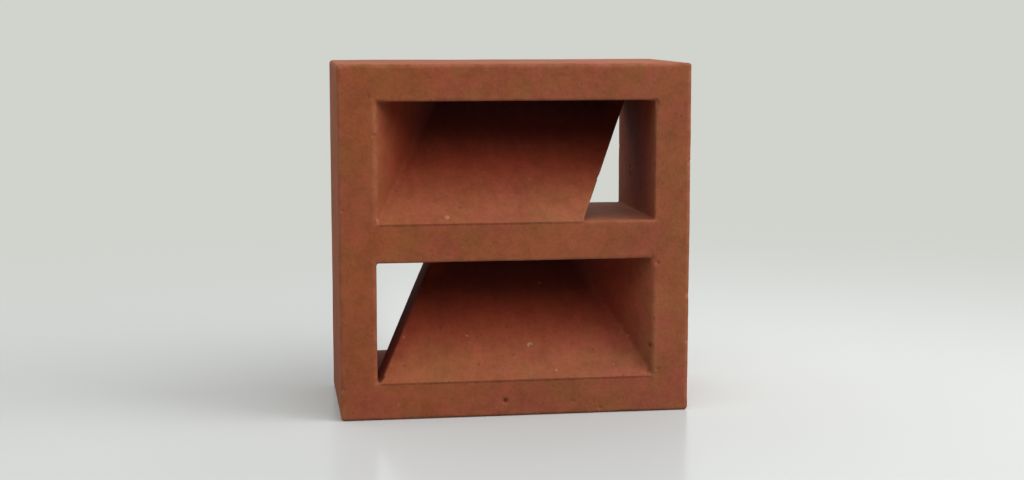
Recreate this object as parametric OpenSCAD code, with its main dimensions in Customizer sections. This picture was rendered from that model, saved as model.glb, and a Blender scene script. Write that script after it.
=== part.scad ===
/* [Block] */
// Width of the block, across the face
block_w = 200; // [170:1:400]
// Height of the block, across the face
block_h = 200; // [150:1:400]
// Depth of the block, from the front face to the back face
block_d = 100; // [60:1:200]

/* [Walls] */
// Thickness of the two side walls
side_wall = 21; // [10:0.5:35]
// Thickness of the top and bottom walls
bed_wall = 21; // [10:0.5:35]
// Thickness of the rib between the two cells
rib = 22; // [10:0.5:40]

/* [Baffles] */
// Thickness of each baffle, measured along the depth of the block
baffle = 30; // [10:0.5:45]
// How far the sloped end of each pocket runs in across its cell
end_run = 40; // [10:1:60]
// Width of each slot at its wide end
slot_w = 41; // [20:1:60]
// Width of each slot at its narrow end
slot_tip = 1.3; // [0.5:0.1:5]
// Radius of the crease between a baffle and the sloped end beside it, at the mouth of its pocket
crease_r = 1.5; // [0.5:0.5:4]
// How much larger that radius is at the crease's inner end
crease_growth = 4.5; // [1:0.5:8]
// Radius of the narrow line where a pocket closes on its wall
nose_r = 2; // [0.5:0.5:4]

/* [Edges] */
// Bevel on the outer edges of the block
arris = 1.2; // [0.4:0.1:3]
// Bevel round the mouth of each pocket, apart from its lip
mouth_arris = 1; // [0.3:0.1:2.5]

/* [Hidden] */
terracotta = [0.55, 0.30, 0.21];
// Facets that each round surface is drawn with
$fn = 48;
// How far a cutter runs past the surface that it opens
over = 5;
// A radius is drawn this much larger, so that it cuts into the faces beside it and doesn't just touch them
bite = 1.01;
cell_w = block_w - 2 * side_wall;
cell_h = (block_h - 2 * bed_wall - rib) / 2;
cell_rise = (rib + cell_h) / 2;
pocket_d = block_d - baffle;
front = -block_d / 2;
// The corner where a pocket's baffle, sloped end and mouth meet
pocket_corner = [-cell_w / 2, front, -cell_h / 2];
// The crease climbs from that corner to the narrow line, and its two faces look along these directions
crease_run = [end_run, pocket_d, cell_h];
baffle_look = unit([0, -cell_h, pocket_d]);
end_look = unit([pocket_d, -end_run, 0]);
crease_angle = 180 - acos(baffle_look * end_look);
nose_angle = atan2(cell_h, pocket_d);

function unit(v) = v / norm(v);

// Rectangle of the given size, centred, with its corners cut off
module bevelled_rectangle(wide, high, cut) {
    polygon([
        [-wide / 2 + cut, -high / 2],
        [wide / 2 - cut, -high / 2],
        [wide / 2, -high / 2 + cut],
        [wide / 2, high / 2 - cut],
        [wide / 2 - cut, high / 2],
        [-wide / 2 + cut, high / 2],
        [-wide / 2, high / 2 - cut],
        [-wide / 2, -high / 2 + cut]
    ]);
}

// Runs a profile of depth and height straight across, along X
module run_across(length) {
    rotate([90, 0, 90])
        linear_extrude(length, center = true)
            children();
}

// Runs a profile of width and height straight through, along Y
module run_through(length) {
    rotate([90, 0, 0])
        linear_extrude(length, center = true)
            children();
}

// The clay that a radius leaves in a corner: the corner is at the origin and opens along +X
module corner_fill(angle, radius) {
    reach = radius / sin(angle / 2);
    touch = radius / tan(angle / 2) * [cos(angle / 2), sin(angle / 2)];
    difference() {
        polygon([[-radius / 2, 0], touch, [reach, 0], [touch.x, -touch.y]]);
        translate([reach, 0])
            circle(radius * bite);
    }
}

// The solid brick, with every outer edge bevelled
module brick() {
    intersection() {
        run_through(block_d)
            bevelled_rectangle(block_w, block_h, arris);
        run_across(block_w)
            bevelled_rectangle(block_d, block_h, arris);
        linear_extrude(block_h, center = true)
            bevelled_rectangle(block_w, block_d, arris);
    }
}

// The wedge that hollows a pocket: it rises on the baffle and narrows on the sloped end
module wedge() {
    intersection() {
        run_across(cell_w)
            polygon([
                [front - over, -cell_h / 2],
                [front, -cell_h / 2],
                [front + pocket_d, cell_h / 2],
                [front - over, cell_h / 2]
            ]);
        linear_extrude(cell_h, center = true)
            polygon([
                [-cell_w / 2, front - over],
                [cell_w / 2, front - over],
                [cell_w / 2, front + pocket_d],
                [-cell_w / 2 + end_run, front + pocket_d],
                [-cell_w / 2, front]
            ]);
    }
}

// The bevel round the mouth of a pocket, which meets the sloped end on its slope
// The baffle keeps a sharp lip where it starts from the front face
// Each bevel is drawn past the wall that it meets, to twice its depth, so that it crosses that wall
// The one on the sloped end is a little narrower, so that no four faces meet in one point
module mouth() {
    rise = 2 * mouth_arris * cell_h / pocket_d;
    run_in = 2 * mouth_arris * end_run / pocket_d;
    end_bevel = 0.8 * mouth_arris;
    inner = front + 2 * mouth_arris;
    intersection() {
        run_across(cell_w + 4 * mouth_arris)
            polygon([
                [front - over, -cell_h / 2],
                [front, -cell_h / 2],
                [inner, -cell_h / 2 + 1.5 * rise],
                [inner, cell_h / 2 - mouth_arris],
                [front, cell_h / 2 + mouth_arris],
                [front - over, cell_h / 2 + mouth_arris]
            ]);
        linear_extrude(cell_h + 4 * mouth_arris, center = true)
            polygon([
                [-cell_w / 2 - end_bevel, front - over],
                [cell_w / 2 + mouth_arris, front - over],
                [cell_w / 2 + mouth_arris, front],
                [cell_w / 2 - mouth_arris, inner],
                [-cell_w / 2 - end_bevel + 2 * mouth_arris + run_in, inner],
                [-cell_w / 2 - end_bevel, front]
            ]);
    }
}

// The clay left in a corner by a radius that grows evenly from nothing to the given radius over a length
// The corner runs along Z and opens along +X
module growing_corner_fill(angle, radius, length) {
    reach = radius / sin(angle / 2);
    touch = radius / tan(angle / 2) * cos(angle / 2);
    far = 2 * reach;
    lean = atan(reach / length);
    spread = asin(sin(lean) * sin(angle / 2));
    difference() {
        intersection() {
            linear_extrude(length)
                polygon([
                    [-radius, 0],
                    far * [cos(angle / 2), sin(angle / 2)],
                    far * [cos(angle / 2), -sin(angle / 2)]
                ]);
            rotate([0, atan(touch / length), 0])
                translate([-far, -far, 0])
                    cube([far, 2 * far, 2 * length]);
        }
        rotate([0, lean, 0])
            cylinder(h = 2 * length, r1 = 0, r2 = 2 * length * tan(spread) * bite);
    }
}

// The radius along the crease, set on the line where the baffle meets the sloped end
// It starts outside the mouth, where it would be nothing, and is drawn past the inner end of the line
module crease() {
    along = unit(crease_run);
    inward = unit(baffle_look + end_look);
    aside = cross(along, inward);
    flare = crease_growth / norm(crease_run);
    lead = crease_r / flare;
    length = lead + norm(crease_run) + over;
    multmatrix([
        [inward.x, aside.x, along.x, pocket_corner.x],
        [inward.y, aside.y, along.y, pocket_corner.y],
        [inward.z, aside.z, along.z, pocket_corner.z],
        [0, 0, 0, 1]
    ])
        translate([0, 0, -lead])
            growing_corner_fill(crease_angle, flare * length, length);
}

// The radius along the narrow line where the baffle meets the wall above it
module nose() {
    run_across(cell_w + 2 * over)
        translate([front + pocket_d, cell_h / 2])
            rotate(180 + nose_angle / 2)
                corner_fill(nose_angle, nose_r);
}

// One pocket, open at the front face
// The clay left in its two corners is joined before it is taken away, so that the radii meet cleanly
module pocket() {
    difference() {
        wedge();
        union() {
            crease();
            nose();
        }
    }
    mouth();
}

// The slot beside a baffle: a triangle with its tip cut short, which runs straight through the block
module slot() {
    run_through(block_d + 2 * over)
        polygon([
            [cell_w / 2 - slot_w, -cell_h / 2],
            [cell_w / 2, -cell_h / 2],
            [cell_w / 2, cell_h / 2],
            [cell_w / 2 - slot_tip, cell_h / 2]
        ]);
}

// All that is hollow in one cell: a pocket from each face, and the slot that joins them
module cell() {
    pocket();
    rotate([180, 0, 0])
        pocket();
    slot();
}

// The whole block, pressed and fired as one piece
// Its lower cell is the upper one, carried point for point through the block's centre
module vent_block() {
    color(terracotta)
        translate([0, 0, block_h / 2])
            difference() {
                brick();
                translate([0, 0, cell_rise])
                    cell();
                rotate([0, 0, 180])
                    mirror([0, 0, 1])
                        translate([0, 0, cell_rise])
                            cell();
            }
}

vent_block();
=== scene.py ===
import math

import bmesh
import bpy
import numpy as np
from bpy.props import FloatProperty, FloatVectorProperty, IntProperty, PointerProperty
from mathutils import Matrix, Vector
from mathutils.bvhtree import BVHTree
from mathutils.kdtree import KDTree


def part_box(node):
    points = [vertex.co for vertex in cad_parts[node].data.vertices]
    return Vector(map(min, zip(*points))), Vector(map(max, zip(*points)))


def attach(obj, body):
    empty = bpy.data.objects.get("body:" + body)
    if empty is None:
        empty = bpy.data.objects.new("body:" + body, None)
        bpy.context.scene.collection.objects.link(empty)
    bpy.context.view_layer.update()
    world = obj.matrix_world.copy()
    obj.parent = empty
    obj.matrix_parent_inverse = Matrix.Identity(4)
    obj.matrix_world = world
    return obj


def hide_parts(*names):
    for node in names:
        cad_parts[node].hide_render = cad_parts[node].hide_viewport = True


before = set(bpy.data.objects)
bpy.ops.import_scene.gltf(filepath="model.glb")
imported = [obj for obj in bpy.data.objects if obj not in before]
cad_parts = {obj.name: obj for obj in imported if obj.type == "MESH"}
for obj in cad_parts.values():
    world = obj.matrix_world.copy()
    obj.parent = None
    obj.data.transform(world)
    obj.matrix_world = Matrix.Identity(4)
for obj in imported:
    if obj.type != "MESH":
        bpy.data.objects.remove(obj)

bl_info = {
    "name": "Terracotta vent block",
    "version": (1, 0, 0),
    "blender": (4, 5, 0),
    "location": "3D View > Sidebar > Vent block",
    "description": "Dresses the packed solid of a vent block as pressed and fired clay",
    "category": "Object",
}

MM = 0.001
NODE = "vent_block"
PIECE = "fired_clay_block"
LOW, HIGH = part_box(NODE)
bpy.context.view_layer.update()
CENTRE = (LOW + HIGH) / 2
HALF = (HIGH - LOW) / 2

# The block's own sizes, which its solid has too; the baffle is measured along the depth
WALL, RIB, BAFFLE, SLOT_WIDE, SLOT_TIP = 21 * MM, 22 * MM, 30 * MM, 41 * MM, 1.3 * MM
CELL_WIDE = HIGH.x - LOW.x - 2 * WALL
CELL_HIGH = (HIGH.z - LOW.z - 2 * WALL - RIB) / 2


def length(name, description, millimetres, low=0.0):
    """A length of the add-on's panel, given in millimetres and kept in metres."""
    return FloatProperty(
        name=name, description=description, default=millimetres * MM, min=low * MM,
        unit="LENGTH", subtype="DISTANCE", precision=5,
    )


def share(name, description, default):
    """A number from 0 to 1 of the add-on's panel."""
    return FloatProperty(name=name, description=description, default=default, min=0, max=1)


def tint(name, description, default):
    """A colour of the add-on's panel, as linear red, green and blue."""
    return FloatVectorProperty(
        name=name, description=description, default=default, min=0, max=1,
        subtype="COLOR", size=3,
    )


class ClayShape(bpy.types.PropertyGroup):
    """How the pressed clay's surface departs from the plain solid."""

    mesh_step: length("Mesh step", "Grid that the solid is remeshed on", 0.6, 0.3)
    swell: length("Swell", "Depth of the slow waves in the faces", 0.18)
    swell_size: length("Swell size", "Distance between those waves", 46, 1)
    wear: length("Wear", "Most that an edge has lost", 0.32)
    wear_reach: length("Wear reach", "How far from an edge the loss runs in", 1.5, 0.2)
    wear_patch: length("Wear patch", "Length of the more and less worn stretches", 11, 1)
    chip_spacing: length("Chip spacing", "Distance between chances of a chip along an edge", 13, 1)
    chip_share: share("Chip share", "Part of those chances that are chips", 0.42)
    chip_radius: length("Chip radius", "Radius of the largest chips", 2.3, 0.2)
    chip_depth: length("Chip depth", "Depth of the largest chips", 0.8)
    pit_spacing: length("Pit spacing", "Least distance between two pits in a face", 9, 1)
    pit_density: FloatProperty(
        name="Pit density", description="Pits in each square metre of surface", default=900, min=0,
    )
    pit_radius: length("Pit radius", "Radius of the largest pits", 1.7, 0.2)
    pit_depth: length("Pit depth", "Depth of the largest pits", 0.8)
    seed: IntProperty(name="Seed", description="Changes where the chips and pits fall", default=7)
    triangles: IntProperty(
        name="Triangles", description="Triangles that the finished piece keeps", default=190000,
    )


class ClayFinish(bpy.types.PropertyGroup):
    """The colours of the fired clay, how far each one covers, and the scale of their variation."""

    body: tint("Body", "The clay's usual colour", (0.238, 0.0675, 0.0290))
    ochre: tint("Ochre", "Browner patches of the clay", (0.222, 0.0735, 0.0280))
    rose: tint("Rose", "Redder patches of the clay", (0.256, 0.0645, 0.0350))
    brown: tint("Brown", "Cast that multiplies the browner left side", (0.98, 0.93, 0.76))
    ash: tint("Ash", "Darker bloom left by the kiln", (0.176, 0.0470, 0.0220))
    edge: tint("Edge", "Fresh clay on rubbed edges", (0.330, 0.1250, 0.0700))
    # Painted shade: the pockets' inside is darkened and reddened in the colour
    inner: tint("Inner", "Redder clay inside the pockets", (0.182, 0.0190, 0.0065))
    # Painted shade: near-black clay where the pockets close
    deep: tint("Deep", "Dark clay where the pockets close", (0.046, 0.0120, 0.0145))
    # Dust, and partly a painted sheen, lightening the faces that look up
    dust: tint("Dust", "Dry clay dust on faces that look up", (0.340, 0.1350, 0.0850))
    # Painted shade inside pits and pores
    pore: tint("Pore", "The inside of pits and pores", (0.085, 0.0240, 0.0130))
    lime: tint("Lime", "Pale grains in the clay", (0.430, 0.2350, 0.1500))
    brown_share: share("Brown share", "How far the brown cast covers on the left side", 0.80)
    streak_share: share("Streak share", "How far ash covers in its streaks", 0.26)
    mottle_share: share("Mottle share", "How far ash covers in the mottle's dark spots", 0.32)
    # How far the painted shade inside the pockets covers, and where they close
    inner_share: share("Inner share", "How far the inner colour covers in the pockets", 0.80)
    deep_share: share("Deep share", "How far the deep colour covers where the pockets close", 0.80)
    # This share and the pit share below set how far the painted shade covers in pores and in pits
    pore_share: share("Pore share", "How far the pore colour covers in a pore", 0.42)
    lime_share: share("Lime share", "How far the lime colour covers on a pale grain", 0.80)
    pit_share: share("Pit share", "How far the pore colour covers in a pit", 0.80)
    rubbed_share: share("Rubbed share", "How far the edge colour covers where an edge is rubbed", 0.38)
    chip_share: share("Chip share", "How far the edge colour covers in a chip", 0.45)
    patch: length("Patch", "Size of the patches of colour", 26, 1)
    mottle: length("Mottle", "Size of the finer mottle", 7, 1)
    streak: length("Streak", "Height of the ash's streaks and of the drag marks in the pockets", 5, 1)
    sand: length("Sand", "Size of the coarse sand in the clay", 1.9, 0.2)
    grain: length("Grain", "Size of the fine grains", 0.8, 0.1)
    pore_spacing: length("Pore spacing", "Distance between open pores", 5.2, 0.5)
    rubbed_reach: length("Rubbed reach", "How far from an edge the clay is rubbed", 2.2, 0.2)
    relief: length("Relief", "Height of the skin's unevenness", 0.3)
    roughness: share("Roughness", "Roughness of the dry clay", 0.86)


class Stage(bpy.types.PropertyGroup):
    """The plain floor, the backdrop and the camera."""

    floor: tint("Floor", "Colour of the floor", (0.525, 0.538, 0.532))
    backdrop: tint("Backdrop", "Colour that the camera sees behind the block", (0.640, 0.650, 0.612))
    room_light: share("Room light", "How strongly the backdrop's colour lights the block", 0.05)
    floor_radius: length("Floor radius", "Radius of the round floor", 6000, 1000)
    eye: FloatVectorProperty(
        name="Eye", description="Where the camera stands", default=(-0.140, -0.967, 0.223),
        subtype="XYZ", unit="LENGTH", size=3,
    )
    aim: FloatVectorProperty(
        name="Aim", description="What the camera looks at", default=(0, -0.03, 0.0985),
        subtype="XYZ", unit="LENGTH", size=3,
    )
    lens: FloatProperty(
        name="Lens", description="Focal length, in millimetres on a 36 mm frame", default=58.5, min=1,
    )


class Marks:
    """The block's own marks, in millimetres: the place, the radius, and the depth or a grain's strength."""

    HOLLOWS = (
        ((-6.9, -50.0, 9.0), 2.3, 0.9),
        ((79.0, 14.2, 136.1), 1.7, 0.9),
        ((79.0, 14.2, 131.3), 1.6, 0.8),
        ((62.1, -50.0, 112.4), 1.6, 0.8),
        ((79.1, -50.0, 177.5), 2.2, 1.2),
        ((51.5, -26.2, 134.1), 2.3, 1.5),
        ((100.0, -50.0, 143.5), 2.6, 1.3),
        ((100.0, -50.0, 67.7), 3.0, 1.3),
        ((100.0, -50.0, 40.3), 2.2, 1.2),
        ((-80.0, -50.0, 160.5), 1.6, 0.8),
        ((-100.0, -50.0, 18.0), 2.6, 1.2),
        ((-99.0, -50.0, 200.0), 2.8, 1.4),
    )
    GRAINS = (
        ((10.0, -32.8, 37.7), 1.9, 0.75),
        ((23.4, -45.8, 25.1), 1.2, 0.45),
        ((-39.1, -46.6, 114.3), 1.8, 0.5),
        ((-78.0, -49.0, 113.6), 1.5, 0.45),
    )


class Lip:
    """The sharp line where a baffle starts from a face: the face's side, its height and its ends."""

    def __init__(self, side, height, start, end):
        self.side = side                     # -1 on the front face, 1 on the back face
        self.height = height
        self.start = start
        self.end = end

    def holds(self, place):
        """Whether a point of an edge lies on this line."""
        near, past = 0.1 * MM, 3 * MM
        return (
            abs(place.y - self.side * HALF.y) < near and abs(place.z - self.height) < near
            and self.start - past < place.x < self.end + past
        )


# Each cell has a lip on the front face and one on the back face
LIPS = (
    Lip(-1, HIGH.z - WALL - CELL_HIGH, -CELL_WIDE / 2, CELL_WIDE / 2 - SLOT_WIDE),
    Lip(-1, LOW.z + WALL, -CELL_WIDE / 2, CELL_WIDE / 2),
    Lip(1, LOW.z + WALL + CELL_HIGH, SLOT_WIDE - CELL_WIDE / 2, CELL_WIDE / 2),
    Lip(1, HIGH.z - WALL, -CELL_WIDE / 2, CELL_WIDE / 2),
)


class Socket:
    """A shader or geometry socket that Python's arithmetic can be written on."""

    def __init__(self, graph, node, out=0):
        self.graph = graph
        self.node = node
        self.out = out

    @property
    def link(self):
        """The socket itself, as a link needs it."""
        return self.node.outputs[self.out]

    def _math(self, operation, *values):
        return self.graph.node("ShaderNodeMath", {"operation": operation}, values)

    def __add__(self, other):
        return self._math("ADD", self, other)

    def __radd__(self, other):
        return self._math("ADD", other, self)

    def __sub__(self, other):
        return self._math("SUBTRACT", self, other)

    def __rsub__(self, other):
        return self._math("SUBTRACT", other, self)

    def __mul__(self, other):
        return self._math("MULTIPLY", self, other)

    def __rmul__(self, other):
        return self._math("MULTIPLY", other, self)

    def __truediv__(self, other):
        return self._math("DIVIDE", self, other)

    def __rtruediv__(self, other):
        return self._math("DIVIDE", other, self)

    def __pow__(self, other):
        return self._math("POWER", self, other)

    def high(self, other):
        """The larger of this and other."""
        return self._math("MAXIMUM", self, other)

    def rise(self, start, end):
        """0 below start and 1 above end, with a smooth step between; start may be the larger."""
        return self.graph.node(
            "ShaderNodeMapRange", {"interpolation_type": "SMOOTHSTEP"},
            {"Value": self, "From Min": start, "From Max": end},
        )


class Graph:
    """Adds nodes to a tree, so that a material or a geometry tree reads as expressions."""

    def __init__(self, tree):
        self.tree = tree
        tree.nodes.clear()

    def node(self, kind, settings=None, values=(), out=0):
        """One node: its type, its settings, then its sockets' values or links, by index or by name."""
        made = self.tree.nodes.new(kind)
        for name, value in (settings or {}).items():
            setattr(made, name, value)
        pairs = values.items() if isinstance(values, dict) else enumerate(values)
        for key, value in pairs:
            socket = made.inputs[key]
            if isinstance(value, Socket):
                self.tree.links.new(value.link, socket)
            elif value is not None:
                socket.default_value = value
        return Socket(self, made, out)

    def noise(self, place, size, detail=3.0, roughness=0.55, distortion=0.0):
        """Noise between 0 and 1 whose features are about size metres across."""
        return self.node(
            "ShaderNodeTexNoise", {"noise_dimensions": "3D"},
            {"Vector": place, "Scale": 1 / size, "Detail": detail, "Roughness": roughness,
             "Distortion": distortion},
        )

    def blend(self, factor, first, second, how="MIX"):
        """A mix of two colours, each of them a socket or plain red, green and blue."""
        first, second = (each if isinstance(each, Socket) else (*each, 1.0) for each in (first, second))
        return self.node(
            "ShaderNodeMix", {"data_type": "RGBA", "blend_type": how, "clamp_factor": True},
            {0: factor, 6: first, 7: second}, out=2,
        )

    def vector(self, operation, *values, out=0):
        """Vector maths on sockets or plain vectors."""
        return self.node("ShaderNodeVectorMath", {"operation": operation}, values, out)


def link_object(name, data):
    """A new object for a mesh, a lamp or a camera, in the scene."""
    made = bpy.data.objects.new(name, data)
    bpy.context.scene.collection.objects.link(made)
    return made


def freeze(source, name):
    """The evaluated mesh of an object as a plain mesh object; the source is removed."""
    bpy.context.view_layer.update()
    evaluated = source.evaluated_get(bpy.context.evaluated_depsgraph_get())
    mesh = bpy.data.meshes.new_from_object(evaluated)
    bpy.data.objects.remove(source)
    made = link_object(name, mesh)
    mesh.name = name
    return made


def merged_copy(node):
    """A copy of a CAD node's mesh with its loose triangles joined."""
    solid = bmesh.new()
    solid.from_mesh(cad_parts[node].data)
    bmesh.ops.remove_doubles(solid, verts=solid.verts, dist=0.001 * MM)
    mesh = bpy.data.meshes.new("plain_solid")
    solid.to_mesh(mesh)
    solid.free()
    return mesh


def arris_lines(mesh, least_angle=18.0):
    """The edges of a mesh that stand out as corners and are worn, which leaves out the sharp lips."""
    solid = bmesh.new()
    solid.from_mesh(mesh)
    lines = []
    for edge in solid.edges:
        if len(edge.link_faces) != 2:
            continue
        if any(all(lip.holds(vert.co) for vert in edge.verts) for lip in LIPS):
            continue
        if edge.calc_face_angle_signed(0.0) > math.radians(least_angle):
            lines.append([vert.co.copy() for vert in edge.verts])
    solid.free()
    places = [tuple(co) for line in lines for co in line]
    joins = [(i, i + 1) for i in range(0, len(places), 2)]
    made = bpy.data.meshes.new("arris_lines")
    made.from_pydata(places, joins, [])
    return made


def mark_points(marks):
    """Listed marks as a mesh of points, with their radius and depth as attributes."""
    made = bpy.data.meshes.new("mark_points")
    made.from_pydata([tuple(v * MM for v in place) for place, _, _ in marks], [], [])
    for name, column in (("radius", 1), ("depth", 2)):
        keep_numbers(made, name, [mark[column] * MM for mark in marks])
    return made


class ClayTree:
    """The geometry tree that wears, pits and chips the remeshed solid."""

    LENGTHS = (
        "swell", "swell_size", "wear", "wear_reach", "wear_patch",
        "chip_spacing", "chip_radius", "chip_depth", "pit_spacing", "pit_radius", "pit_depth",
    )
    NUMBERS = ("chip_share", "pit_density")
    OTHERS = (("seed", "Int"), ("arrises", "Object"), ("marks", "Object"), ("material", "Material"))

    # Added to the panel's seed, so that no two draws are alike
    CHIP_PLACE, PIT_SIZE, CHIP_SIZE, CHIP_CHOICE = 5, 11, 23, 31

    CHIP_STRAY = 4 * MM          # how far a chip may lie off its arris, along each axis
    LEAST_RADIUS = 0.01 * MM     # what a chance that is no chip keeps, since hollows divide by it
    LEAST_PIT, LEAST_CHIP = 0.35, 0.3          # the smallest ones' size as a share of the largest
    LEAST_WEAR = 0.25            # what every stretch of an arris has lost, as a share of the most
    WAVES = (0.28, 0.72)         # the part of a noise's range that runs from no loss to all of it
    RAGGED_SIZE = 2.2 * MM       # size of the teeth round a ragged hollow
    RAGGED = (0.6, 0.8)          # the least stretch of its outline, and what the noise adds to it
    BOWL = 1.3                   # power that rounds a hollow's rim

    def __init__(self):
        self.tree = bpy.data.node_groups.new("Worn clay", "GeometryNodeTree")
        self.graph = Graph(self.tree)
        self.add_interface()
        self.source = self.graph.node("NodeGroupInput").node
        self.place = self.graph.node("GeometryNodeInputPosition")
        self.build()

    def add_interface(self):
        """Names the tree's inputs and its output."""
        face = self.tree.interface
        face.new_socket("Geometry", in_out="INPUT", socket_type="NodeSocketGeometry")
        for name in (*self.LENGTHS, *self.NUMBERS):
            face.new_socket(name, in_out="INPUT", socket_type="NodeSocketFloat")
        for name, kind in self.OTHERS:
            face.new_socket(name, in_out="INPUT", socket_type="NodeSocket" + kind)
        face.new_socket("Geometry", in_out="OUTPUT", socket_type="NodeSocketGeometry")

    def given(self, name):
        """One of the tree's own inputs."""
        return Socket(self.graph, self.source, name)

    def shape_of(self, name):
        """The geometry of the object in one of the tree's inputs."""
        return self.graph.node(
            "GeometryNodeObjectInfo", {"transform_space": "RELATIVE"},
            {"Object": self.given(name)}, out="Geometry",
        )

    def stored(self, geometry, name, value):
        """The geometry with a number kept on its points."""
        return self.graph.node(
            "GeometryNodeStoreNamedAttribute", {"data_type": "FLOAT", "domain": "POINT"},
            {"Geometry": geometry, "Name": name, "Value": value},
        )

    def draw(self, seed_shift):
        """A random number between 0 and 1 for each point."""
        return self.graph.node(
            "FunctionNodeRandomValue", {"data_type": "FLOAT"},
            {2: 0.0, 3: 1.0, 8: self.given("seed") + seed_shift}, out=1,
        )

    def hollow(self, points, ragged):
        """How deep the nearest of some points hollows the surface: a bowl of its own radius and depth."""
        graph = self.graph
        nearest = graph.node("GeometryNodeSampleNearest", {"domain": "POINT"}, {"Geometry": points})

        def sampled(kind, value):
            """A value of the nearest of the points."""
            return graph.node(
                "GeometryNodeSampleIndex", {"data_type": kind, "domain": "POINT"},
                {"Geometry": points, "Value": value, "Index": nearest}, out="Value",
            )

        def kept(name):
            """A number that was stored on the points."""
            named = graph.node(
                "GeometryNodeInputNamedAttribute", {"data_type": "FLOAT"}, {"Name": name},
            )
            return sampled("FLOAT", named)

        centre = sampled("FLOAT_VECTOR", self.place)
        away = graph.vector("DISTANCE", self.place, centre, out="Value") / kept("radius")
        if ragged:
            least, added = self.RAGGED
            away = away * (least + added * graph.noise(self.place, self.RAGGED_SIZE, detail=2.0))
        bowl = (1.0 - away * away).high(0.0)
        return kept("depth") * bowl ** self.BOWL

    def pits(self, surface):
        """Points scattered over the surface, with a radius and a depth each."""
        points = self.graph.node(
            "GeometryNodeDistributePointsOnFaces", {"distribute_method": "POISSON"},
            {"Mesh": surface, "Distance Min": self.given("pit_spacing"),
             "Density Max": self.given("pit_density"), "Seed": self.given("seed")},
        )
        size = self.draw(self.PIT_SIZE)
        size = self.LEAST_PIT + (1 - self.LEAST_PIT) * size * size * size
        points = self.stored(points, "radius", self.given("pit_radius") * size)
        return self.stored(points, "depth", self.given("pit_depth") * size)

    def chips(self):
        """Points along the arrises, some of which become chips."""
        graph = self.graph
        curves = graph.node("GeometryNodeMeshToCurve", None, {"Mesh": self.shape_of("arrises")})
        points = graph.node(
            "GeometryNodeCurveToPoints", {"mode": "LENGTH"},
            {"Curve": curves, "Length": self.given("chip_spacing")},
        )
        shift = graph.node(
            "FunctionNodeRandomValue", {"data_type": "FLOAT_VECTOR"},
            {0: (-self.CHIP_STRAY,) * 3, 1: (self.CHIP_STRAY,) * 3,
             8: self.given("seed") + self.CHIP_PLACE}, out=0,
        )
        points = graph.node("GeometryNodeSetPosition", None, {"Geometry": points, "Offset": shift})
        size = self.draw(self.CHIP_SIZE)
        kept = graph.node(
            "ShaderNodeMath", {"operation": "LESS_THAN"},
            (self.draw(self.CHIP_CHOICE), self.given("chip_share")),
        )
        size = (self.LEAST_CHIP + (1 - self.LEAST_CHIP) * size * size) * kept
        radius = self.given("chip_radius") * size + self.LEAST_RADIUS
        points = self.stored(points, "radius", radius)
        return self.stored(points, "depth", self.given("chip_depth") * size)

    def waves(self, size, depth, detail):
        """A loss between 0 and depth that varies over the surface."""
        noise = self.graph.noise(self.place, size, detail, roughness=0.5)
        return depth * noise.rise(*self.WAVES)

    def worn_arrises(self):
        """What the arrises have lost, more in some stretches than in others."""
        reach = self.graph.node(
            "GeometryNodeProximity", {"target_element": "EDGES"},
            {"Geometry": self.shape_of("arrises")}, out="Distance",
        )
        near = (1.0 - reach / self.given("wear_reach")).high(0.0)
        patch = self.waves(self.given("wear_patch"), self.given("wear"), 2.0)
        return near * near * (patch + self.LEAST_WEAR * self.given("wear"))

    def build(self):
        """Moves every point of the surface inwards by all that the clay has lost there."""
        graph = self.graph
        surface = self.given("Geometry")
        normal = graph.node("GeometryNodeInputNormal")
        loss = self.waves(self.given("swell_size"), self.given("swell"), 1.0) + self.worn_arrises()
        loss = loss + self.hollow(self.pits(surface), ragged=False)
        loss = loss + self.hollow(self.chips(), ragged=True)
        loss = loss + self.hollow(self.shape_of("marks"), ragged=True)
        offset = graph.node(
            "ShaderNodeVectorMath", {"operation": "SCALE"}, {0: normal, "Scale": 0.0 - loss},
        )
        worn = graph.node("GeometryNodeSetPosition", None, {"Geometry": surface, "Offset": offset})
        real = graph.node("GeometryNodeRealizeInstances", None, {"Geometry": worn})
        dressed = graph.node(
            "GeometryNodeSetMaterial", None, {"Geometry": real, "Material": self.given("material")},
        )
        graph.node("NodeGroupOutput", None, {"Geometry": dressed})

    def put_on(self, obj, settings, arrises, marks, material):
        """Adds the tree to an object as a modifier, with every input set."""
        modifier = obj.modifiers.new("Worn clay", "NODES")
        modifier.node_group = self.tree
        values = {name: getattr(settings, name) for name in (*self.LENGTHS, *self.NUMBERS)}
        values.update(seed=settings.seed, arrises=arrises, marks=marks, material=material)
        for item in self.tree.interface.items_tree:
            if item.in_out == "INPUT" and item.name in values:
                modifier[item.identifier] = values[item.name]


def keep_numbers(mesh, name, values):
    """Stores one number for each point of a mesh, for a tree or a material to read."""
    field = mesh.attributes.new(name, "FLOAT", "POINT")
    field.data.foreach_set("value", values)


def distance_to_lines(mesh, lines, step=0.8 * MM, most=6 * MM):
    """For each point of a mesh, the distance to the nearest of some lines, up to a limit."""
    samples = []
    for edge in lines.edges:
        start, end = (lines.vertices[i].co for i in edge.vertices)
        count = max(2, int((end - start).length / step) + 1)
        samples += [start.lerp(end, i / (count - 1)) for i in range(count)]
    tree = KDTree(len(samples))
    for i, place in enumerate(samples):
        tree.insert(place, i)
    tree.balance()
    return np.array([min(most, tree.find(vert.co)[2]) for vert in mesh.vertices])


def points_of(mesh, field="co"):
    """The places or normals of a mesh's points, one row each."""
    values = np.zeros(len(mesh.vertices) * 3)
    mesh.vertices.foreach_get(field, values)
    return values.reshape(-1, 3)


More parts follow.
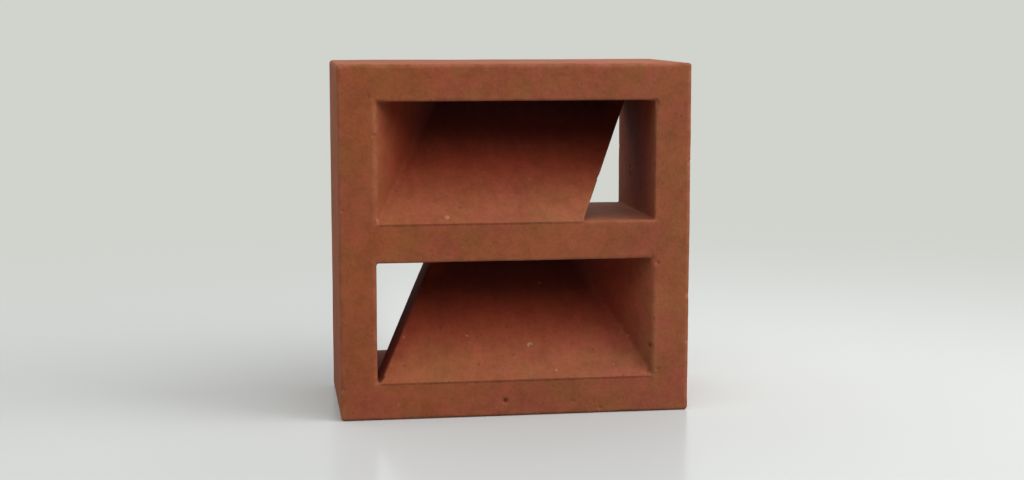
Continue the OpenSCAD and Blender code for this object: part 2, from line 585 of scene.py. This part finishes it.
def pocket_depth(mesh):
    """For each point, how far it lies in its pocket, from 0 at the mouth to 0.7 where the pocket closes.

    It grows with the way in from the mouth and with the way up to the line where the pocket closes, as the
    shade there does; the material paints that shade by it.
    Towards the slot, which both pockets of a cell share, it turns into the way in from the nearer face.
    """
    x, y, z = (points_of(mesh) - np.array(CENTRE)).T
    turned = np.where(z < 0, -1.0, 1.0)      # the lower cell is the upper one through the centre
    x, y, z = x * turned, y * turned, z * turned
    across, up = x + CELL_WIDE / 2, z - RIB / 2
    front_in, back_in = y + HALF.y, HALF.y - y
    slope = CELL_HIGH / (2 * HALF.y - BAFFLE)
    over_baffle = up - slope * (front_in - BAFFLE / 2) > 0
    closed = 1 - BAFFLE / (2 * HALF.y)
    share_in, share_up = 0.7, 0.3            # how much the way in and the way up count
    slot_fade = 14 * MM                      # how far from the slot a pocket's own value starts to fade
    edge = 0.3 * MM                          # how far past its walls a cell still counts

    def depth_in(way_in, way_up):
        deep = np.clip(way_in / (2 * HALF.y), 0, 1)
        high = np.clip(closed * way_up / CELL_HIGH, 0, 1)
        return deep ** share_in * high ** share_up

    in_pocket = np.where(over_baffle, depth_in(front_in, up), depth_in(back_in, CELL_HIGH - up))
    slot = SLOT_TIP + (SLOT_WIDE - SLOT_TIP) * (1 - up / CELL_HIGH)
    past = np.clip((across - (CELL_WIDE - slot)) / slot_fade + 1, 0, 1)
    past = past * past * (3 - 2 * past)      # a smooth step, which ends at the slot's edge
    in_cell = in_pocket + past * (depth_in(np.minimum(front_in, back_in), up) - in_pocket)
    inside = (across > -edge) & (across < CELL_WIDE + edge) & (up > -edge) & (up < CELL_HIGH + edge)
    return np.where(inside, in_cell, 0.0)


def lost_clay(mesh, solid):
    """For each point, how far it lies below the surface of the plain solid."""
    tree = BVHTree.FromPolygons(
        [vert.co for vert in solid.vertices], [list(face.vertices) for face in solid.polygons],
    )
    return np.array([tree.find_nearest(vert.co)[3] for vert in mesh.vertices])


class Fade:
    """For each layer of the finish, where it starts to show and where it is full, on what it follows."""

    OCHRE, ROSE = (0.40, 0.66), (0.46, 0.70)                   # their own patches of noise
    ASH_STREAK, ASH_SPOT = (0.50, 0.80), (0.56, 0.80)          # the streaks and the mottle
    INNER, DEEP, DRAG = (0.02, 0.37), (0.30, 0.74), (0.02, 0.12)   # the way into a pocket, for its painted shade and its drag marks
    PORE, PORE_CHANCE = (0.15, 0.08), (0.72, 0.80)             # from a pore's rim in, and its draw
    LIME, LIME_CHANCE = (0.18, 0.06), (0.04, 0.02)             # from a grain's rim in, and its draw
    PIT, CHIP = (0.35 * MM, 0.85 * MM), (0.45 * MM, 0.90 * MM)     # the clay lost, for the painted shade in pits and for the chips
    OFF_ARRIS, ON_ARRIS = (0.0, 0.25), (0.0, 0.3)              # nearness to an arris
    RUBBED, RUBBED_INSIDE = (0.38, 0.62), (0.25, 0.60)         # the mottle, and the way into a pocket
    LINE_RIM, LINE_END = (-0.15 * MM, 0.25 * MM), (1.7 * MM, 0.9 * MM)    # the way out from a lip
    FACE = (HALF.y - 1.2 * MM, HALF.y - 0.6 * MM)              # the way out to the front or back face


class Tone:
    """How much lighter or darker each part of the finish makes the clay, as a share of its colour."""

    # The press line's share is painted shade along the lips
    CLOUD, MOTTLE, SAND, GRAIN, DRAG, PRESS_LINE = 0.36, 0.44, 0.42, 0.32, 0.30, 0.32


class Height:
    """How much each part of the finish raises or lowers the skin, as a share of its relief."""

    GRAIN, SAND, MOTTLE, PORE, LIME, PRESS_LINE = 0.35, 0.8, 0.9, 1.4, 0.5, 0.5


class FiredClay:
    """The block's material: patches of ochre and rose, sand, pores, pale grains and worn edges, with
    painted shade in the pockets, pores, pits and press lines and a painted sheen where it looks up.
    """

    BUMP = 0.6                   # strength of the skin's relief
    GRAIN_ROUGH = 0.08           # how much rougher the fine grains make the skin
    RUBBED_SMOOTH = 0.06         # how much smoother it is where it is rubbed
    SHINE = 0.15                 # specular level of dry clay, which hardly shines
    BROWN_WAVER = 60 * MM        # how far the cloud moves the fade from the browner side
    DUST = (0.05, 0.16)          # the cover of the dust and painted sheen everywhere, and what the mottle adds to it
    PORE_SIZE, LIME_SIZE = 0.4, 0.3      # the smallest ones' size, to which chance adds up to 1
    LIME_FAINT = 0.55            # strength of the scattered grains beside a listed one
    LIME_HEART = 0.5             # the part of a placed grain's radius that shows at full strength
    LIME_RAGGED = 0.5            # what each noise adds to a placed grain's outline
    LEAST_RUBBED = 0.25          # how much even the least rubbed stretch of an arris shows
    LINE_TAPER = 1 * MM          # how far a press line takes to start and to end
    LINE_WAVER = 0.35 * MM       # how far it strays from a straight line

    def __init__(self, finish):
        self.finish = finish
        self.material = bpy.data.materials.new("Terracotta")
        self.material.use_nodes = True
        self.graph = Graph(self.material.node_tree)
        self.place = self.graph.node("ShaderNodeTexCoord", out="Object")
        parts = self.graph.node("ShaderNodeSeparateXYZ", None, (self.place,))
        self.x, self.y, self.z = (Socket(self.graph, parts.node, out) for out in range(3))
        self.arris, self.lost = self.kept("arris"), self.kept("lost")
        # How far into a pocket, for the painted shade, and how much a place looks up, for the dust and
        # painted sheen
        self.inner, self.dust = self.kept("pocket"), self.kept("dust")
        self.mottle = self.graph.noise(self.place, finish.mottle)
        self.sand = self.graph.noise(self.place, finish.sand, detail=2.0, roughness=0.6)
        self.grain = self.graph.noise(self.place, finish.grain, detail=2.0, roughness=0.7)
        self.cloud = self.graph.noise(self.moved(0.11, 0.41, 0.07), finish.patch * 0.9, detail=1.0)
        self.colour = finish.body
        self.build()

    def kept(self, name):
        """One of the numbers kept on the block's points."""
        return self.graph.node("ShaderNodeAttribute", {"attribute_name": name}, out="Fac")

    def moved(self, *shift):
        """The place on the block, moved so that two noises of like size don't follow each other."""
        return self.graph.vector("ADD", self.place, shift)

    def stretched(self, *squeeze):
        """The place on the block, squeezed along its axes so that a noise draws out along them."""
        return self.graph.vector("MULTIPLY", self.place, squeeze)

    def lay(self, factor, colour, how="MIX"):
        """Lays a colour over what is there, by a factor that may vary over the surface."""
        self.colour = self.graph.blend(factor, self.colour, colour, how)

    def build(self):
        """Lays the colours from the body outwards, then sets the skin's relief and roughness."""
        finish, graph = self.finish, self.graph
        self.colour_the_body()
        self.colour_the_pockets()
        press_line = self.press_line()
        self.tone(press_line)
        pore, pale = self.pores_and_grains()
        # Painted shade in the pores
        self.lay(pore * finish.pore_share, finish.pore)
        self.lay(pale * finish.lime_share, finish.lime)
        rubbed = self.colour_the_damage()

        height = self.grain * Height.GRAIN + self.sand * Height.SAND + self.mottle * Height.MOTTLE
        height = height - pore * Height.PORE + pale * Height.LIME - press_line * Height.PRESS_LINE
        bump = graph.node(
            "ShaderNodeBump", None,
            {"Strength": self.BUMP, "Distance": finish.relief, "Height": height},
        )
        rough = finish.roughness + self.GRAIN_ROUGH * (self.grain - 0.5) - self.RUBBED_SMOOTH * rubbed
        shader = graph.node(
            "ShaderNodeBsdfPrincipled", None,
            {"Base Color": self.colour, "Roughness": rough, "Normal": bump,
             "Specular IOR Level": self.SHINE, "IOR": 1.5},
        )
        graph.node("ShaderNodeOutputMaterial", None, {"Surface": shader})

    def colour_the_body(self):
        """Ochre and rose patches, a browner left side, the kiln's ash, and dust with a painted sheen on
        what looks up.
        """
        finish, graph = self.finish, self.graph
        patch = graph.noise(self.place, finish.patch, detail=2.0, distortion=0.6)
        other = graph.noise(
            self.moved(0.31, 0.17, 0.23), finish.patch * 0.8, detail=2.0, distortion=0.4,
        )
        streak = graph.noise(self.stretched(0.22, 0.5, 1.0), finish.streak)
        leftward = (self.x + self.BROWN_WAVER * (self.cloud - 0.5)).rise(HIGH.x, LOW.x)
        dust_least, dust_added = self.DUST
        self.lay(patch.rise(*Fade.OCHRE), finish.ochre)
        self.lay(other.rise(*Fade.ROSE), finish.rose)
        self.lay(leftward * finish.brown_share, finish.brown, "MULTIPLY")
        self.lay(streak.rise(*Fade.ASH_STREAK) * finish.streak_share, finish.ash)
        self.lay(self.mottle.rise(*Fade.ASH_SPOT) * finish.mottle_share, finish.ash)
        # Dust and a painted sheen on the faces that look up
        self.lay(self.dust * (dust_least + dust_added * self.mottle), finish.dust)

    def colour_the_pockets(self):
        """Painted shade: redder, darker clay from the mouth in, and near-black clay where the pocket
        closes.
        """
        self.lay(self.inner.rise(*Fade.INNER) * self.finish.inner_share, self.finish.inner)
        self.lay(self.inner.rise(*Fade.DEEP) * self.finish.deep_share, self.finish.deep)

    def press_line(self):
        """1 on the thin line just outside a baffle's lip in each face, which the relief lowers as a groove
        and the colour darkens as painted shade.
        """
        taper = self.LINE_TAPER
        waver = self.LINE_WAVER * (self.mottle - 0.5)
        line = 0.0
        for lip in LIPS:
            outward = (self.z - lip.height) * lip.side + waver
            across = outward.rise(*Fade.LINE_RIM) * outward.rise(*Fade.LINE_END)
            along = self.x.rise(lip.start - taper, lip.start + taper)
            along = along * self.x.rise(lip.end + taper, lip.end - taper)
            line = line + across * along * (self.y * lip.side).rise(*Fade.FACE)
        return line

    def tone(self, press_line):
        """Makes the colour lighter and darker with the noises and the drag marks, and darkens the press
        lines with painted shade.
        """
        level = 1 + Tone.CLOUD * (self.cloud - 0.5) + Tone.MOTTLE * (self.mottle - 0.5)
        level = level + Tone.SAND * (self.sand - 0.5) + Tone.GRAIN * (self.grain - 0.5)
        drag = self.graph.noise(self.stretched(1.0, 0.16, 0.16), self.finish.streak)
        level = level + Tone.DRAG * (drag - 0.5) * self.inner.rise(*Fade.DRAG)
        # Painted shade along the press lines
        level = level - Tone.PRESS_LINE * press_line
        self.lay(1.0, self.graph.node("ShaderNodeCombineColor", None, (level,) * 3), "MULTIPLY")

    def pores_and_grains(self):
        """1 in the open pores, and up to 1 on the pale grains, both scattered and listed one by one."""
        graph = self.graph
        cells = graph.node(
            "ShaderNodeTexVoronoi", None,
            {"Vector": self.place, "Scale": 1 / self.finish.pore_spacing}, out="Distance",
        )
        chance = graph.node("ShaderNodeSeparateColor", None, (Socket(graph, cells.node, "Color"),))
        size = Socket(graph, chance.node, 1)
        pore = (cells / (self.PORE_SIZE + size)).rise(*Fade.PORE) * chance.rise(*Fade.PORE_CHANCE)
        pale = (cells / (self.LIME_SIZE + size)).rise(*Fade.LIME) * chance.rise(*Fade.LIME_CHANCE)
        pale = pale * self.LIME_FAINT
        outline = 1 - self.LIME_RAGGED + self.LIME_RAGGED * self.grain + self.LIME_RAGGED * self.sand
        for spot, radius, strength in Marks.GRAINS:
            away = graph.vector("DISTANCE", self.place, [v * MM for v in spot], out="Value")
            full = self.LIME_HEART * radius * MM
            pale = pale.high((away * outline).rise(radius * MM, full) * strength)
        return pore, pale

    def colour_the_damage(self):
        """Paints shade in the pits and freshens the rubbed edges and the chips; gives how rubbed each place
        is.
        """
        finish = self.finish
        pit = self.lost.rise(*Fade.PIT) * (1 - self.arris.rise(*Fade.OFF_ARRIS))
        patch = self.LEAST_RUBBED + (1 - self.LEAST_RUBBED) * self.mottle.rise(*Fade.RUBBED)
        rubbed = self.arris * patch * (1 - self.inner.rise(*Fade.RUBBED_INSIDE))
        chip = self.lost.rise(*Fade.CHIP) * self.arris.rise(*Fade.ON_ARRIS)
        # Painted shade in the pits, darker where more clay is lost
        self.lay(pit * finish.pit_share, finish.pore)
        self.lay(rubbed * finish.rubbed_share, finish.edge)
        self.lay(chip * finish.chip_share, finish.edge)
        return rubbed


class VENTBLOCK_OT_press_clay(bpy.types.Operator):
    """Make the block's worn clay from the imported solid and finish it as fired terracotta"""

    bl_idname = "ventblock.press_clay"
    bl_label = "Press and fire the block"

    def execute(self, context):
        shape = context.scene.vent_block_shape
        finish = context.scene.vent_block_finish
        solid = merged_copy(NODE)
        lines = arris_lines(solid)
        if not lines.edges:
            raise RuntimeError("the packed solid has no arris to wear")
        arrises = link_object("arris_lines", lines)
        marks = link_object("mark_points", mark_points(Marks.HOLLOWS))
        material = FiredClay(finish).material

        raw = link_object("raw_clay", solid.copy())
        remesh = raw.modifiers.new("Grid", "REMESH")
        remesh.mode = "VOXEL"
        remesh.voxel_size = shape.mesh_step
        ClayTree().put_on(raw, shape, arrises, marks, material)
        worn = freeze(raw, "worn_clay")
        reduce = worn.modifiers.new("Reduce", "DECIMATE")
        reduce.ratio = min(1.0, shape.triangles / sum(len(p.vertices) - 2 for p in worn.data.polygons))
        block = freeze(worn, PIECE)
        mesh = block.data
        mesh.shade_smooth()
        far = distance_to_lines(mesh, lines)
        keep_numbers(mesh, "arris", np.clip(1 - far / finish.rubbed_reach, 0, 1))
        keep_numbers(mesh, "lost", lost_clay(mesh, solid))
        # How far into a pocket, which the material turns into painted shade
        keep_numbers(mesh, "pocket", pocket_depth(mesh))
        # How much a point looks up, where the dust and the painted sheen go
        keep_numbers(mesh, "dust", np.clip(points_of(mesh, "normal")[:, 2], 0, 1))
        mesh.materials.clear()
        mesh.materials.append(material)
        for helper in (arrises, marks):
            bpy.data.objects.remove(helper)

        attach(block, "root")
        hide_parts(NODE)
        return {"FINISHED"}


def pale_world(colour, strength):
    """A plain world: the camera and reflections see its colour, and it lights weakly."""
    world = bpy.data.worlds.new("Pale room")
    world.use_nodes = True
    graph = Graph(world.node_tree)
    seen, glossy, through = (
        graph.node("ShaderNodeLightPath", out=ray)
        for ray in ("Is Camera Ray", "Is Glossy Ray", "Is Transmission Ray")
    )
    level = strength + (1.0 - strength) * seen.high(glossy).high(through)
    sky = graph.node("ShaderNodeBackground", None, {"Color": (*colour, 1.0), "Strength": level})
    graph.node("ShaderNodeOutputWorld", None, {"Surface": sky})
    return world


def floor_material(colour, backdrop, clear=0.22, hidden=0.95):
    """A pale polished table that fades into the backdrop between two distances from the block."""
    material = bpy.data.materials.new("Pale table")
    material.use_nodes = True
    graph = Graph(material.node_tree)
    place = graph.node("ShaderNodeTexCoord", out="Object")
    away = graph.vector("LENGTH", place, out="Value")
    camera = graph.node("ShaderNodeLightPath", out="Is Camera Ray")
    table = graph.node(
        "ShaderNodeBsdfPrincipled", None,
        {"Base Color": (*colour, 1.0), "Roughness": 0.2, "Specular IOR Level": 0.03},
    )
    haze = graph.node("ShaderNodeEmission", None, {"Color": (*backdrop, 1.0), "Strength": 1.0})
    faded = graph.node(
        "ShaderNodeMixShader", None, (away.rise(clear, hidden) * camera, table, haze),
    )
    graph.node("ShaderNodeOutputMaterial", None, {"Surface": faded})
    return material


def round_floor(radius, material):
    """A plain disc for the block to stand on."""
    disc = bmesh.new()
    bmesh.ops.create_circle(disc, cap_ends=True, radius=radius, segments=96)
    mesh = bpy.data.meshes.new("table")
    disc.to_mesh(mesh)
    disc.free()
    mesh.materials.append(material)
    return link_object("table", mesh)


def aim(obj, target):
    """Turns a lamp or camera to look at a point."""
    obj.rotation_mode = "QUATERNION"
    obj.rotation_quaternion = (Vector(target) - obj.location).to_track_quat("-Z", "Y")


def soft_lamp(name, azimuth, elevation, distance, size, power):
    """An area lamp that looks at the block; azimuth 0 is in front of it and 90 to its right."""
    lamp = bpy.data.lights.new(name, "AREA")
    lamp.shape = "RECTANGLE"
    lamp.size, lamp.size_y = size
    lamp.energy = power
    made = link_object(name, lamp)
    across, up = math.radians(azimuth), math.radians(elevation)
    made.location = CENTRE + distance * Vector(
        (math.sin(across) * math.cos(up), -math.cos(across) * math.cos(up), math.sin(up))
    )
    aim(made, CENTRE)


def camera_at(eye, target, lens):
    """A camera that stands at one point and looks at another."""
    camera = bpy.data.cameras.new("camera")
    camera.lens = lens
    camera.sensor_width = 36.0
    camera.clip_start, camera.clip_end = 0.05, 50.0
    made = link_object("camera", camera)
    made.location = eye
    aim(made, target)
    return made


class VENTBLOCK_OT_set_stage(bpy.types.Operator):
    """Add the floor, the pale background, the lamps and the camera"""

    bl_idname = "ventblock.set_stage"
    bl_label = "Set the stage"

    def execute(self, context):
        stage = context.scene.vent_block_stage
        scene = context.scene
        scene.world = pale_world(stage.backdrop, stage.room_light)
        scene.view_settings.view_transform = "Standard"
        floor = round_floor(stage.floor_radius, floor_material(stage.floor, stage.backdrop))

        # Name, azimuth and elevation in degrees, distance and size in metres, power in watts
        soft_lamp("key", 17, 56, 2.4, (3.9, 3.0), 78)
        soft_lamp("right", 72, 28, 1.8, (1.4, 1.2), 22)
        soft_lamp("left", -82, 32, 1.8, (1.4, 1.2), 6)
        soft_lamp("back left", -140, 40, 1.8, (2.0, 1.4), 12)
        soft_lamp("back right", 150, 28, 1.8, (2.0, 1.4), 9)

        scene.camera = camera_at(stage.eye, stage.aim, stage.lens)
        return {"FINISHED"}


class VENTBLOCK_PT_sidebar(bpy.types.Panel):
    """Lists the steps of the block and their settings"""

    bl_idname = "VENTBLOCK_PT_sidebar"
    bl_label = "Vent block"
    bl_space_type = "VIEW_3D"
    bl_region_type = "UI"
    bl_category = "Vent block"

    def draw(self, context):
        scene = context.scene
        steps = (
            (VENTBLOCK_OT_press_clay, (scene.vent_block_shape, scene.vent_block_finish)),
            (VENTBLOCK_OT_set_stage, (scene.vent_block_stage,)),
        )
        for step, groups in steps:
            self.layout.operator(step.bl_idname)
            column = self.layout.column()
            for settings in groups:
                for name in type(settings).__annotations__:
                    column.prop(settings, name)


CLASSES = (
    ClayShape, ClayFinish, Stage,
    VENTBLOCK_OT_press_clay, VENTBLOCK_OT_set_stage, VENTBLOCK_PT_sidebar,
)


def register():
    """Adds the operators, the panel and the settings to Blender."""
    for each in CLASSES:
        bpy.utils.register_class(each)
    bpy.types.Scene.vent_block_shape = PointerProperty(type=ClayShape)
    bpy.types.Scene.vent_block_finish = PointerProperty(type=ClayFinish)
    bpy.types.Scene.vent_block_stage = PointerProperty(type=Stage)


def unregister():
    """Takes them out again."""
    del bpy.types.Scene.vent_block_stage
    del bpy.types.Scene.vent_block_finish
    del bpy.types.Scene.vent_block_shape
    for each in reversed(CLASSES):
        bpy.utils.unregister_class(each)


def main():
    """Makes the block and its stage."""
    register()
    bpy.ops.ventblock.press_clay()
    bpy.ops.ventblock.set_stage()


if __name__ == "__main__":
    main()
